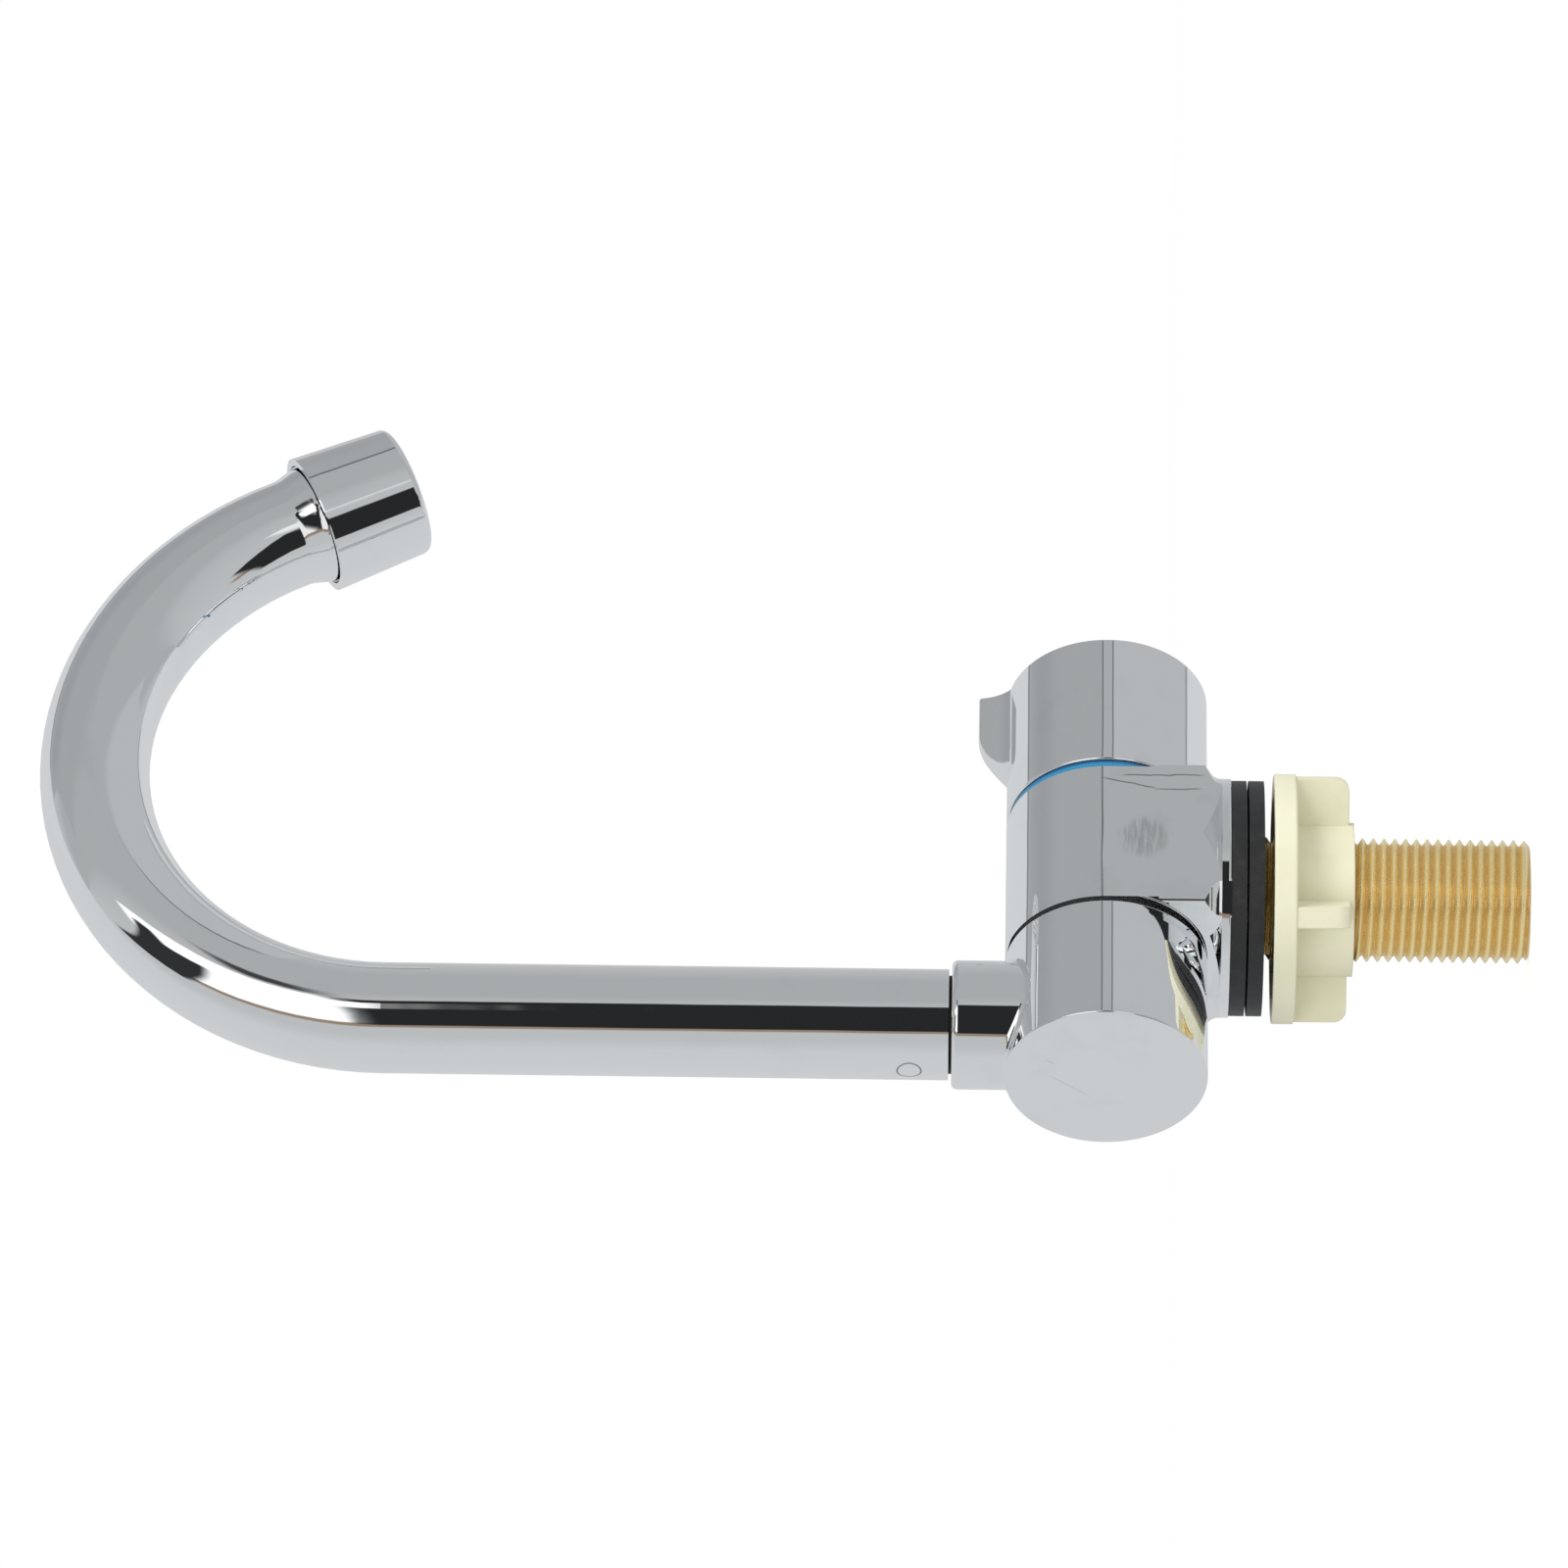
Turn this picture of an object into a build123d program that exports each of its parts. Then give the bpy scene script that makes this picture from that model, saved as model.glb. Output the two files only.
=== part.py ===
from build123d import *
import os
from math import cos, hypot, radians, sin, tan

# Folding tap for a caravan worktop. Millimetres, +Z up.
# The origin is on the threaded shank's axis, on the worktop's top surface.
# The barrel runs along X: the knob is at +X and the folding spout hub at -X. The front is -Y.

# Barrel: body, hub and knob share one outside diameter
BARREL_R = 17.0
BODY_LENGTH = 28.9
BARREL_RISE = 20.7  # barrel axis above the flange's underside
EDGE_ROUND = 0.35  # on the ends of the knob and the hub
SPOT_R = 19.0  # round spot face that lets knob and hub turn beside the body's foot
SPOT_DEPTH = 0.8

# Base flange and its seals
FLANGE_R = 20.15
FLANGE_T = 1.6
RIM_ROUND = 0.45
FOOT_COVE_R = 2.2  # cove by which the foot's corners draw in to the round flange
FOOT_COVE_ANGLE = 55.0  # between the flange's rim and the slope above the cove
FOOT_ROUND = 0.6  # on the foot's upright corners
GASKET_INSET = 0.3  # of the gasket's edge from the flange's
GASKET_T = 2.6

# Threaded shank, G 1/2: major diameter 20.955
THREAD_R = 10.4775
SHANK_REACH = 50.3  # from the flange's underside to the free end
SHANK_SCREWED_IN = 8.0
SHANK_BORE_R = 7.6
SHANK_END_CHAMFER = 0.9

# Clamping parts below the worktop, at rest as the tap is packed
CLAMP_GAP = 0.35  # between the gasket and the clamp washer
WASHER_SLACK = 0.27  # radial, of a washer on the thread
NUT_GAP = 1.65  # between the clamp washer and the nut
NUT_FLANGE_R = 21.1
NUT_FLANGE_T = 3.8
NUT_RECESS_R = 17.0
NUT_RECESS_DEPTH = 0.6
NUT_HUB_R = 13.0
NUT_HEIGHT = 13.6
NUT_ROUND = 0.35
WING_COUNT = 4
WING_T = 3.6
WING_EMBED = 1.0  # how far the wings' roots run into the hub and flange
WING_REACH = 20.7
WING_SHORT = 0.85  # the wings end this much above the nut's hub
WING_CORNER = 2.2
WING_ANGLE = 40.5  # of the first wing, from +X

# Fits
RUN_GAP = 0.05  # radial, of a turning fit
FACE_GAP = 0.03  # axial, between two turning faces
SEAL_SECTION = 1.6  # O-ring thickness
SMALL_SEAL_SECTION = 1.2
CUT_SPARE = 1.0  # how far a cutting shape runs past the face it cuts
RADIUS_MATCH = 0.01  # for finding an edge by its radius

# Water ways in the body
CARTRIDGE_BORE_R = 11.0
CARTRIDGE_BORE_DEPTH = 12.95
INLET_CHAMBER_R = 5.5
INLET_CHAMBER_DEPTH = 8.0
INLET_WAY_R = 3.5
OUTLET_WAY_R = 1.6
OUTLET_WAY_SPREAD = 9.1  # of the outlet ways' axes from the barrel's axis
OUTLET_WAY_STEP = 30.0  # degrees between two of them
PIVOT_SEAT_R = 10.0
PIVOT_SEAT_DEPTH = 4.0
OUTLET_CHAMBER_DEPTH = 2.0

# Ceramic disc cartridge
DISC_R = 7.3
DISC_SLACK = 0.15
FIXED_DISC_T = 2.5
MOVING_DISC_T = 2.0
PORT_R = 1.8
PORT_SPREAD = 3.6
SEAT_SEAL_T = 1.5
SKIRT_R = 8.7
WINDOW_WIDTH = 6.0
WINDOW_LENGTH = 3.3
HEX_FLATS = 22.0
HEX_T = 3.05
HOUSING_THREAD = 3.5  # length of the housing's threaded part
HOUSING_SEAL_IN = 1.4  # its seal's centre, in from the body's end
NECK_R = 6.5
NECK_LENGTH = 8.5
STEM_R = 4.85
DRIVE_PLATE_T = 1.9
DRIVE_RIB_WIDTH = 2.9
DRIVE_RIB_HEIGHT = 0.9
DRIVE_RIB_LENGTH = 11.0
SPLINE_R = 4.0
SPLINE_FLATS = 6.0
SPLINE_LENGTH = 9.5
STEM_PROUD = 0.5  # stem shoulder beyond the neck's end
STEM_SEAL_START = 1.5  # first seal's centre, from the hexagon's outer face
STEM_SEAL_STEP = 3.5

# Knob
RING_T = 1.65
RING_R = 16.6
RING_BORE_R = 13.1
KNOB_GAP = 0.1
KNOB_LENGTH = 27.1
KNOB_WALL = 2.0
KNOB_END_T = 3.5
BOSS_R = 7.2
BOSS_GAP = 1.0  # between the spindle's shoulder and the boss
SPLINE_END_GAP = 0.2
FIN_REACH = 4.9  # beyond the knob's round
FIN_TOP = 8.0  # flat length of its tip, along the barrel
FIN_LENGTH = 17.0
FIN_TIP_T = 2.8
FIN_ROOT_T = 12.0
FIN_FLANK_R = 8.0
FIN_ROUND = 0.8
KNOB_SCREW_R = 2.0
KNOB_SCREW_LENGTH = 5.0
KNOB_SCREW_IN = 5.0  # from the boss's mouth
SCREW_SOCKET_FLATS = 2.0
SCREW_SOCKET_DEPTH = 2.0

# Folding hub and its pivot
WASHER_T = 0.8
FOLD_WASHER_R = 15.8
HUB_LENGTH = 24.5
HUB_END_T = 4.7
PIVOT_R = 9.0
PIVOT_BORE_R = 5.0
PIVOT_END_GAP = 0.5
PIVOT_CLOSED_T = 2.6
WAIST_R = 7.2
WAIST_LENGTH = 6.4
PIVOT_PORT_R = 2.2
PIVOT_PORTS = 4
SCREW_GROOVE_R = 7.9
SCREW_GROOVE_LENGTH = 4.4
SCREW_GROOVE_START = 1.6  # behind the hub's inner face
HUB_SCREW_R = 2.0
HUB_SCREW_SUNK = 1.5
COLLAR_R = 10.8
COLLAR_RISE = 25.8  # collar face above the barrel's axis
COLLAR_ROUND = 1.0
COLLAR_ROOT_ROUND = 1.4  # where the collar meets the drum
COLLAR_OFFSET = 13.4  # collar's axis behind the hub's inner face

# Spigot that the spout turns on
SPIGOT_ROOT_R = 8.0
SPIGOT_ROOT_LENGTH = 14.0
SPIGOT_BORE_R = 4.5
SPIGOT_SLACK = 0.08
PIN_GROOVE_DEPTH = 1.3
PIN_GROOVE_LENGTH = 4.4
SEAL_LAND = 10.0
TUBE_SEAL_SPACING = 4.0
BUSH_LENGTH = 8.0
BUSH_T = 1.0

# Spout: a straight rise and two tangent bends in one plane
SPOUT_TURN = 7.0  # degrees from +X towards the front, as the tap lies in the photo
TUBE_R = 9.3
TUBE_WALL = 1.0
TUBE_GAP = 0.5  # above the collar
STRAIGHT_TOP = 120.9  # end of the straight rise, above the barrel's axis
BEND_R = 50.9
BEND_ANGLE = 113.0
TIP_BEND_R = 55.9
TIP_BEND_ANGLE = 41.0
TIP_STRAIGHT = 6.2
FLARE_R = 10.2
FLARE_START = 0.2  # from the start of the tip's straight run
FLARE_LENGTH = 4.5
PIN_R = 2.0
PIN_RISE = 6.5  # above the tube's lower end

# Outlet: sleeve, aerator and the nipple that carries them
FLARE_INSERT = 1.5  # how far the flare reaches into the sleeve
SLEEVE_LENGTH = 17.3
SLEEVE_BACK_R = 12.0
SLEEVE_FRONT_R = 11.25
SLEEVE_MOUTH_R = 10.75
SLEEVE_LIP_R = 8.9
SLEEVE_LIP_T = 1.0
SLEEVE_ROUND = 1.2
MOUTH_SPARE = 0.5  # wide part of the sleeve's bore beyond the tube's end
NIPPLE_THREAD_R = 10.1
NIPPLE_BORE_R = 7.4
NIPPLE_LENGTH = 7.0
AERATOR_SEAL_T = 1.5
CAGE_WALL = 1.2
CAGE_GRID_T = 1.5
SCREEN_T = 0.5
SCREEN_HOLE_R = 0.55
SCREEN_PITCH = 2.7
GRID_HOLE_R = 1.0
GRID_PITCH = 2.9
GRID_RINGS = 3

# Levels and planes worked out from the sizes above
GASKET_R = FLANGE_R - GASKET_INSET
FLANGE_Z = GASKET_T
AXIS_Z = FLANGE_Z + BARREL_RISE
BODY_HALF = BODY_LENGTH / 2
FOOT_HALF = BODY_HALF + SPOT_DEPTH
SHANK_END_Z = FLANGE_Z - SHANK_REACH
SHANK_TOP_Z = FLANGE_Z + SHANK_SCREWED_IN
SEAT_X = BODY_HALF - CARTRIDGE_BORE_DEPTH
KNOB_X = BODY_HALF + RING_T + KNOB_GAP
KNOB_END_X = KNOB_X + KNOB_LENGTH
HUB_X = -(BODY_HALF + WASHER_T + FACE_GAP)
HUB_END_X = HUB_X - HUB_LENGTH
COLLAR_X = HUB_X - COLLAR_OFFSET
COLLAR_Z = AXIS_Z + COLLAR_RISE
TUBE_BORE_R = TUBE_R - TUBE_WALL

BARREL_AXIS = Axis((0, 0, AXIS_Z), (1, 0, 0))
BARREL_SECTION = Plane(origin=(0, 0, AXIS_Z), x_dir=(1, 0, 0), z_dir=(0, -1, 0))
SHANK_SECTION = Plane(origin=(0, 0, 0), x_dir=(1, 0, 0), z_dir=(0, -1, 0))
COLLAR_AXIS = Axis((COLLAR_X, 0, AXIS_Z), (0, 0, 1))
COLLAR_SECTION = Plane(origin=(COLLAR_X, 0, AXIS_Z), x_dir=(1, 0, 0), z_dir=(0, -1, 0))
REACH = (cos(radians(SPOUT_TURN)), -sin(radians(SPOUT_TURN)), 0)
SPOUT_PLANE = Plane(origin=(COLLAR_X, 0, AXIS_Z), x_dir=REACH, z_dir=(REACH[1], -REACH[0], 0))

os.makedirs("parts", exist_ok=True)


def turned(plane, outline):
    """A closed outline on a section plane, ready to be revolved."""
    with BuildSketch(plane) as section:
        with BuildLine():
            Polyline(*outline, close=True)
        make_face()
    return section.sketch


def o_ring(plane, along, out_r, section_d):
    """The round section of an O-ring whose outside touches the radius out_r."""
    with BuildSketch(plane) as section:
        with Locations((along, out_r - section_d / 2)):
            Circle(section_d / 2)
    return section.sketch


def across_barrel(x):
    """A plane square to the barrel at x: local X is +Y and local Y is +Z."""
    return Plane(origin=(x, 0, AXIS_Z), x_dir=(0, 1, 0), z_dir=(1, 0, 0))


# Tap body: tombstone block on a round flared flange
flare_r = FLANGE_R - BARREL_R
flare_top = FLANGE_Z + FLANGE_T + flare_r
corner_r = hypot(FOOT_HALF, BARREL_R) + CUT_SPARE
cove_low = (FLANGE_R, FLANGE_Z + FLANGE_T)
cove_rise = FOOT_COVE_R * sin(radians(FOOT_COVE_ANGLE))
cove_out = FOOT_COVE_R * (1 - cos(radians(FOOT_COVE_ANGLE)))
cove_high = (FLANGE_R + cove_out, FLANGE_Z + FLANGE_T + cove_rise)
slope_rise = (corner_r - cove_high[0]) / tan(radians(FOOT_COVE_ANGLE))
envelope_top = AXIS_Z + 2 * BARREL_R
with BuildPart() as tap_body:
    with BuildSketch(Plane.YZ):
        with Locations((0, AXIS_Z)):
            Circle(BARREL_R)
        with Locations((0, (AXIS_Z + FLANGE_Z) / 2)):
            Rectangle(2 * BARREL_R, BARREL_RISE)
    extrude(amount=FOOT_HALF, both=True)
    fillet(tap_body.edges().filter_by(Axis.Z), FOOT_ROUND)
    # the foot's corners draw in to the round flange through a cove
    with BuildSketch(SHANK_SECTION):
        with BuildLine():
            Polyline((0, FLANGE_Z), (FLANGE_R, FLANGE_Z), cove_low)
            RadiusArc(cove_low, cove_high, FOOT_COVE_R)
            Polyline(cove_high, (corner_r, cove_high[1] + slope_rise), (corner_r, envelope_top))
            Polyline((corner_r, envelope_top), (0, envelope_top), (0, FLANGE_Z))
        make_face()
    revolve(axis=Axis.Z, mode=Mode.INTERSECT)
    # round flange whose top sweeps up into the flat sides
    with BuildSketch(SHANK_SECTION):
        with BuildLine():
            Polyline((0, flare_top), (0, FLANGE_Z), (FLANGE_R - RIM_ROUND, FLANGE_Z))
            RadiusArc((FLANGE_R - RIM_ROUND, FLANGE_Z), (FLANGE_R, FLANGE_Z + RIM_ROUND), -RIM_ROUND)
            Line((FLANGE_R, FLANGE_Z + RIM_ROUND), (FLANGE_R, FLANGE_Z + FLANGE_T))
            RadiusArc((FLANGE_R, FLANGE_Z + FLANGE_T), (BARREL_R, flare_top), flare_r)
            Line((BARREL_R, flare_top), (0, flare_top))
        make_face()
    revolve(axis=Axis.Z)
    # spot faces for the knob's side and the hub's side
    for side in (1, -1):
        with BuildSketch(Plane(origin=(side * BODY_HALF, 0, AXIS_Z), x_dir=(0, 1, 0), z_dir=(side, 0, 0))):
            Circle(SPOT_R)
        extrude(amount=FLANGE_R, mode=Mode.SUBTRACT)
    # cartridge bore, inlet chamber behind its seat, and outlet chamber behind the pivot's seat
    with BuildSketch(across_barrel(BODY_HALF)):
        Circle(CARTRIDGE_BORE_R)
    extrude(amount=-CARTRIDGE_BORE_DEPTH, mode=Mode.SUBTRACT)
    with BuildSketch(across_barrel(SEAT_X)):
        Circle(INLET_CHAMBER_R)
    extrude(amount=-INLET_CHAMBER_DEPTH, mode=Mode.SUBTRACT)
    with BuildSketch(across_barrel(-BODY_HALF)):
        Circle(PIVOT_SEAT_R)
    extrude(amount=PIVOT_SEAT_DEPTH + OUTLET_CHAMBER_DEPTH, mode=Mode.SUBTRACT)
    with BuildSketch(across_barrel(SEAT_X)):
        with PolarLocations(OUTLET_WAY_SPREAD, 3, 90 - OUTLET_WAY_STEP, 3 * OUTLET_WAY_STEP):
            Circle(OUTLET_WAY_R)
    extrude(amount=-(BODY_HALF + SEAT_X - PIVOT_SEAT_DEPTH), mode=Mode.SUBTRACT)
    # threaded socket for the shank, and the way up from it to the inlet chamber
    with BuildSketch(Plane.XY.offset(FLANGE_Z)):
        Circle(THREAD_R)
    extrude(amount=SHANK_SCREWED_IN, mode=Mode.SUBTRACT)
    with BuildSketch(Plane.XY.offset(SHANK_TOP_Z)):
        with Locations((SEAT_X - INLET_CHAMBER_DEPTH / 2, 0)):
            Circle(INLET_WAY_R)
    extrude(amount=AXIS_Z - SHANK_TOP_Z, mode=Mode.SUBTRACT)
tap_body.part.label = "tap_body"
export_step(tap_body.part, "parts/tap_body.step")

# Inlet shank: the thread is held as a plain cylinder of its major diameter
shank_outline = [
    (SHANK_BORE_R, SHANK_END_Z),
    (THREAD_R - SHANK_END_CHAMFER, SHANK_END_Z),
    (THREAD_R, SHANK_END_Z + SHANK_END_CHAMFER),
    (THREAD_R, SHANK_TOP_Z),
    (SHANK_BORE_R, SHANK_TOP_Z),
]
with BuildPart() as inlet_shank:
    revolve(turned(SHANK_SECTION, shank_outline), axis=Axis.Z)
inlet_shank.part.label = "inlet_shank"
export_step(inlet_shank.part, "parts/inlet_shank.step")

# Base gasket, between the flange and the worktop
with BuildPart() as base_gasket:
    with BuildSketch(Plane.XY):
        Circle(GASKET_R)
        Circle(THREAD_R + WASHER_SLACK, mode=Mode.SUBTRACT)
    extrude(amount=GASKET_T)
base_gasket.part.label = "base_gasket"
export_step(base_gasket.part, "parts/base_gasket.step")

# Clamp washer, the same rubber ring below the worktop
clamp_z = -CLAMP_GAP
with BuildPart() as clamp_washer:
    with BuildSketch(Plane.XY.offset(clamp_z)):
        Circle(GASKET_R)
        Circle(THREAD_R + WASHER_SLACK, mode=Mode.SUBTRACT)
    extrude(amount=-GASKET_T)
clamp_washer.part.label = "clamp_washer"
export_step(clamp_washer.part, "parts/clamp_washer.step")

# Lock nut: flange with a recessed top, hub and four wings
nut_top = clamp_z - GASKET_T - NUT_GAP
nut_end = nut_top - NUT_HEIGHT
wing_end = nut_end + WING_SHORT
nut_outline = [
    (THREAD_R + RUN_GAP, nut_top - NUT_RECESS_DEPTH),
    (NUT_RECESS_R, nut_top - NUT_RECESS_DEPTH),
    (NUT_RECESS_R, nut_top),
    (NUT_FLANGE_R, nut_top),
    (NUT_FLANGE_R, nut_top - NUT_FLANGE_T),
    (NUT_HUB_R, nut_top - NUT_FLANGE_T),
    (NUT_HUB_R, nut_end),
    (THREAD_R + RUN_GAP, nut_end),
]
with BuildPart() as lock_nut:
    revolve(turned(SHANK_SECTION, nut_outline), axis=Axis.Z)
    nut_circles = lock_nut.edges().filter_by(GeomType.CIRCLE)
    rim = nut_circles.filter_by(lambda e: abs(e.radius - NUT_FLANGE_R) < RADIUS_MATCH)
    fillet(rim, NUT_ROUND)
    wing_plane = Plane.XZ.rotated((0, 0, WING_ANGLE))
    for turn in range(WING_COUNT):
        with BuildSketch(wing_plane.rotated((0, 0, turn * 360 / WING_COUNT))):
            with BuildLine():
                root = (NUT_HUB_R - WING_EMBED, nut_top - NUT_FLANGE_T + WING_EMBED)
                low_root = (NUT_HUB_R - WING_EMBED, wing_end)
                corner_top = (WING_REACH, wing_end + WING_CORNER)
                corner_end = (WING_REACH - WING_CORNER, wing_end)
                Polyline(low_root, root, (WING_REACH, root[1]), corner_top)
                RadiusArc(corner_top, corner_end, WING_CORNER)
                Line(corner_end, low_root)
            make_face()
        extrude(amount=WING_T / 2, both=True)
lock_nut.part.label = "lock_nut"
export_step(lock_nut.part, "parts/lock_nut.step")

# Cold ring, the coloured band between the body and the knob
with BuildPart() as cold_ring:
    with BuildSketch(across_barrel(BODY_HALF)):
        Circle(RING_R)
        Circle(RING_BORE_R, mode=Mode.SUBTRACT)
    extrude(amount=RING_T)
cold_ring.part.label = "cold_ring"
export_step(cold_ring.part, "parts/cold_ring.step")

# Cartridge stations along the barrel
fixed_x = SEAT_X + SEAT_SEAL_T
moving_x = fixed_x + FIXED_DISC_T + FACE_GAP
plate_x = moving_x + MOVING_DISC_T
shoulder_x = plate_x + DRIVE_PLATE_T + 2 * FACE_GAP
hex_end_x = BODY_HALF + HEX_T
neck_end_x = hex_end_x + NECK_LENGTH
skirt_bore_r = DISC_R + DISC_SLACK
thread_x = BODY_HALF - HOUSING_THREAD
seal_x = BODY_HALF - HOUSING_SEAL_IN
spline_x = neck_end_x + STEM_PROUD

# Cartridge housing: skirt with two windows, threaded part, hexagon and neck
housing_outline = [
    (SEAT_X, skirt_bore_r),
    (SEAT_X, SKIRT_R),
    (thread_x, SKIRT_R),
    (thread_x, CARTRIDGE_BORE_R),
    (seal_x - SEAL_SECTION / 2, CARTRIDGE_BORE_R),
    (seal_x - SEAL_SECTION / 2, CARTRIDGE_BORE_R - SEAL_SECTION),
    (seal_x + SEAL_SECTION / 2, CARTRIDGE_BORE_R - SEAL_SECTION),
    (seal_x + SEAL_SECTION / 2, CARTRIDGE_BORE_R),
    (BODY_HALF, CARTRIDGE_BORE_R),
    (BODY_HALF, NECK_R),
    (neck_end_x, NECK_R),
    (neck_end_x, STEM_R + RUN_GAP),
    (shoulder_x, STEM_R + RUN_GAP),
    (shoulder_x, skirt_bore_r),
]
with BuildPart() as cartridge_housing:
    revolve(turned(BARREL_SECTION, housing_outline), axis=BARREL_AXIS)
    with BuildSketch(across_barrel(BODY_HALF)):
        RegularPolygon(HEX_FLATS / 2, 6, major_radius=False)
        Circle((NECK_R + STEM_R) / 2, mode=Mode.SUBTRACT)
    extrude(amount=HEX_T)
    with BuildSketch(Plane.XZ.offset(-2 * SKIRT_R)):
        with Locations((plate_x, AXIS_Z)):
            Rectangle(WINDOW_LENGTH, WINDOW_WIDTH)
    extrude(amount=4 * SKIRT_R, mode=Mode.SUBTRACT)
cartridge_housing.part.label = "cartridge_housing"
export_step(cartridge_housing.part, "parts/cartridge_housing.step")

# Cartridge seal, the O-ring in the housing's groove
with BuildPart() as cartridge_seal:
    revolve(o_ring(BARREL_SECTION, seal_x, CARTRIDGE_BORE_R, SEAL_SECTION), axis=BARREL_AXIS)
cartridge_seal.part.label = "cartridge_seal"
export_step(cartridge_seal.part, "parts/cartridge_seal.step")

# Seat seal, the rubber ring under the fixed disc
with BuildPart() as seat_seal:
    with BuildSketch(across_barrel(SEAT_X)):
        Circle(DISC_R)
        Circle(INLET_CHAMBER_R, mode=Mode.SUBTRACT)
    extrude(amount=SEAT_SEAL_T)
seat_seal.part.label = "seat_seal"
export_step(seat_seal.part, "parts/seat_seal.step")

# Fixed ceramic disc: two ports, one above the other
with BuildPart() as fixed_disc:
    with BuildSketch(across_barrel(fixed_x)):
        Circle(DISC_R)
        with PolarLocations(PORT_SPREAD, 2, 90):
            Circle(PORT_R, mode=Mode.SUBTRACT)
    extrude(amount=FIXED_DISC_T)
fixed_disc.part.label = "fixed_disc"
export_step(fixed_disc.part, "parts/fixed_disc.step")

# Moving ceramic disc: its ports lie a quarter turn off, so the tap is shut
with BuildPart() as moving_disc:
    with BuildSketch(across_barrel(moving_x)):
        Circle(DISC_R)
        with PolarLocations(PORT_SPREAD, 2):
            Circle(PORT_R, mode=Mode.SUBTRACT)
    extrude(amount=MOVING_DISC_T)
    with BuildSketch(across_barrel(plate_x)):
        Rectangle(DRIVE_RIB_WIDTH, DRIVE_RIB_LENGTH)
    extrude(amount=-DRIVE_RIB_HEIGHT, mode=Mode.SUBTRACT)
moving_disc.part.label = "moving_disc"
export_step(moving_disc.part, "parts/moving_disc.step")

# Cartridge spindle: drive plate with a rib, stem with two seal grooves, and a flatted end
seal_groove_r = STEM_R - SMALL_SEAL_SECTION
first_stem_seal = hex_end_x + STEM_SEAL_START
stem_seals = [first_stem_seal, first_stem_seal + STEM_SEAL_STEP]
stem_outline = [(plate_x, 0), (plate_x, DISC_R)]
stem_outline += [(plate_x + DRIVE_PLATE_T, DISC_R), (plate_x + DRIVE_PLATE_T, STEM_R)]
for groove_x in stem_seals:
    near = groove_x - SMALL_SEAL_SECTION / 2
    far = groove_x + SMALL_SEAL_SECTION / 2
    stem_outline += [(near, STEM_R), (near, seal_groove_r), (far, seal_groove_r), (far, STEM_R)]
stem_outline += [(spline_x, STEM_R), (spline_x, 0)]
with BuildPart() as cartridge_spindle:
    revolve(turned(BARREL_SECTION, stem_outline), axis=BARREL_AXIS)
    with BuildSketch(across_barrel(spline_x)):
        Circle(SPLINE_R)
        Rectangle(2 * SPLINE_R, SPLINE_FLATS, mode=Mode.INTERSECT)
    extrude(amount=SPLINE_LENGTH)
    with BuildSketch(across_barrel(plate_x)):
        Rectangle(DRIVE_RIB_WIDTH, DRIVE_RIB_LENGTH)
    extrude(amount=-DRIVE_RIB_HEIGHT)
cartridge_spindle.part.label = "cartridge_spindle"
export_step(cartridge_spindle.part, "parts/cartridge_spindle.step")

# Spindle seals, two O-rings
with BuildPart() as spindle_seals:
    for groove_x in stem_seals:
        revolve(o_ring(BARREL_SECTION, groove_x, STEM_R, SMALL_SEAL_SECTION), axis=BARREL_AXIS)
spindle_seals.part.label = "spindle_seals"
export_step(spindle_seals.part, "parts/spindle_seals.step")

# Fin of the knob: its side outline, cut to the thin flanks seen from the end
fin_tip = BARREL_R + FIN_REACH
fin_root = BARREL_R - KNOB_WALL / 2
with BuildPart() as fin:
    with BuildSketch(BARREL_SECTION):
        with BuildLine():
            Polyline((KNOB_END_X, fin_root), (KNOB_END_X, fin_tip), (KNOB_END_X - FIN_TOP, fin_tip))
            slope = TangentArc(
                (KNOB_END_X - FIN_TOP, fin_tip), (KNOB_END_X - FIN_LENGTH, fin_root), tangent=(-1, 0)
            )
            Line(slope @ 1, (KNOB_END_X, fin_root))
        make_face()
    extrude(amount=FIN_ROOT_T / 2, both=True)
    with BuildSketch(across_barrel(KNOB_END_X)):
        with BuildLine():
            flank_foot = BARREL_R - KNOB_WALL
            Line((-FIN_TIP_T / 2, fin_tip), (FIN_TIP_T / 2, fin_tip))
            RadiusArc((FIN_TIP_T / 2, fin_tip), (FIN_ROOT_T / 2, flank_foot), -FIN_FLANK_R)
            Line((FIN_ROOT_T / 2, flank_foot), (-FIN_ROOT_T / 2, flank_foot))
            RadiusArc((-FIN_ROOT_T / 2, flank_foot), (-FIN_TIP_T / 2, fin_tip), -FIN_FLANK_R)
        make_face()
    extrude(amount=-FIN_LENGTH, mode=Mode.INTERSECT)
    tip_edges = fin.edges().filter_by(Axis.X).group_by(Axis.Z)[-1]
    fillet(tip_edges, FIN_ROUND)

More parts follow.
